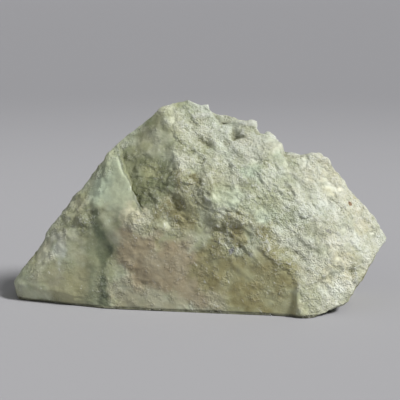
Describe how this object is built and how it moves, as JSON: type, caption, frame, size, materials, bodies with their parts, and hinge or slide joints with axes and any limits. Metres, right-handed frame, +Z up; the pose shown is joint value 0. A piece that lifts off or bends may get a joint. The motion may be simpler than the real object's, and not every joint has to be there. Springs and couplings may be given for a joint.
{
  "type": "raw jade boulder",
  "caption": "Rough block of pale green jade, broken on every side, with smooth and sugary fracture faces, lying on its flattest face.",
  "frame": {"origin": "middle of the bounding box, at the underside that the stone rests on", "axes": "+Z up; +X along the stone from its low pointed end to its blunt end; -Y out of its broad front face"},
  "size_m": [0.222, 0.0896, 0.1171],
  "materials": {
    "raw_jade": "raw, broken; smooth waxy faces and rough sugary ones"
  },
  "bodies": {
    "root": {"jade_boulder": "raw_jade"}
  },
  "joints": []
}
